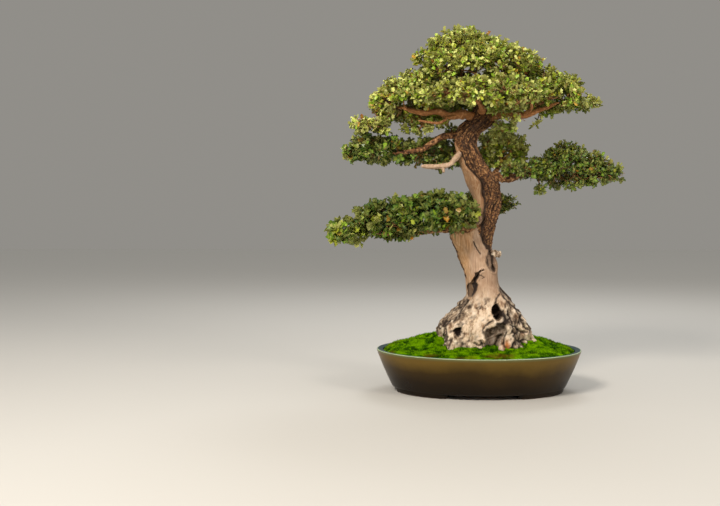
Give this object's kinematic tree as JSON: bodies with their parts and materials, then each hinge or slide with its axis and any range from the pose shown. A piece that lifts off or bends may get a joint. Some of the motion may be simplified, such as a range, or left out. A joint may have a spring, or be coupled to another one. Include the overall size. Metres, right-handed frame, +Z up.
{
  "type": "palmer oak bonsai",
  "caption": "Old bonsai oak with a hollowed, bleached trunk and layered pads of holly-like leaves, growing in moss in a glazed oval pot.",
  "frame": {"origin": "middle of the whole outline seen from above, on the surface that the pot stands on", "axes": "+Z up, -Y the front that the tree is viewed from, +X to the viewer's right, along the pot's length"},
  "size_m": [0.7009, 0.3983, 0.8609],
  "materials": {
    "glaze": "olive-brown satin glaze on stoneware",
    "screen": "moulded black mesh",
    "soil": "fired clay granules",
    "moss": "living cushion moss",
    "wood": "bleached deadwood with strips of furrowed bark",
    "leaves": "living leaves, waxy above"
  },
  "bodies": {
    "root": {"pot": "glaze", "drain_screen_left": "screen", "drain_screen_right": "screen", "soil": "soil", "moss": "moss", "trunk": "wood", "foliage_crown_top": "leaves", "foliage_crown_right": "leaves", "foliage_crown_left": "leaves", "foliage_crown_front": "leaves", "foliage_crown_back": "leaves", "foliage_low_left": "leaves", "foliage_mid_left": "leaves", "foliage_right": "leaves", "foliage_back_right": "leaves", "foliage_back_mid": "leaves", "foliage_back_low": "leaves"}
  },
  "joints": []
}
